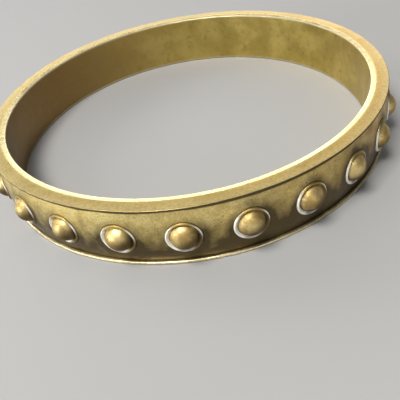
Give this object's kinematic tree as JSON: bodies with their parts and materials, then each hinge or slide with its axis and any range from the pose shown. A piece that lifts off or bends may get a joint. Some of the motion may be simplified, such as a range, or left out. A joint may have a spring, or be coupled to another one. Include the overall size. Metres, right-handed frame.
{
  "type": "bangle bracelet",
  "caption": "Rigid slip-on bangle in aged brass: a flanged hoop holding a crowned strip set with a row of domed rivets.",
  "frame": {"origin": "centre of the wrist opening, on the face that the bangle lies on", "axes": "+Z along the axis of the wrist opening, +X through the middle of the first stud"},
  "size_m": [0.0726, 0.0726, 0.01],
  "materials": {
    "hoop_brass": "satin gold-coloured brass, worn bright on the rims and the mouth of the bore",
    "strip_brass": "aged brass with a mottled brown patina, darker low down and round the studs",
    "solder": "dull brass-coloured solder, filed flush",
    "stud_brass": "satin domes in raised collars that are worn pale on one side, browned in the hollows"
  },
  "bodies": {
    "root": {"hoop": "hoop_brass", "strip": "strip_brass", "strip_solder": "solder", "stud_01": "stud_brass", "stud_02": "stud_brass", "stud_03": "stud_brass", "stud_04": "stud_brass", "stud_05": "stud_brass", "stud_06": "stud_brass", "stud_07": "stud_brass", "stud_08": "stud_brass", "stud_09": "stud_brass", "stud_10": "stud_brass", "stud_11": "stud_brass", "stud_12": "stud_brass", "stud_13": "stud_brass", "stud_14": "stud_brass", "stud_15": "stud_brass", "stud_16": "stud_brass", "stud_17": "stud_brass", "stud_18": "stud_brass", "stud_19": "stud_brass", "stud_20": "stud_brass", "stud_21": "stud_brass", "stud_22": "stud_brass", "stud_23": "stud_brass", "stud_24": "stud_brass"}
  },
  "joints": []
}
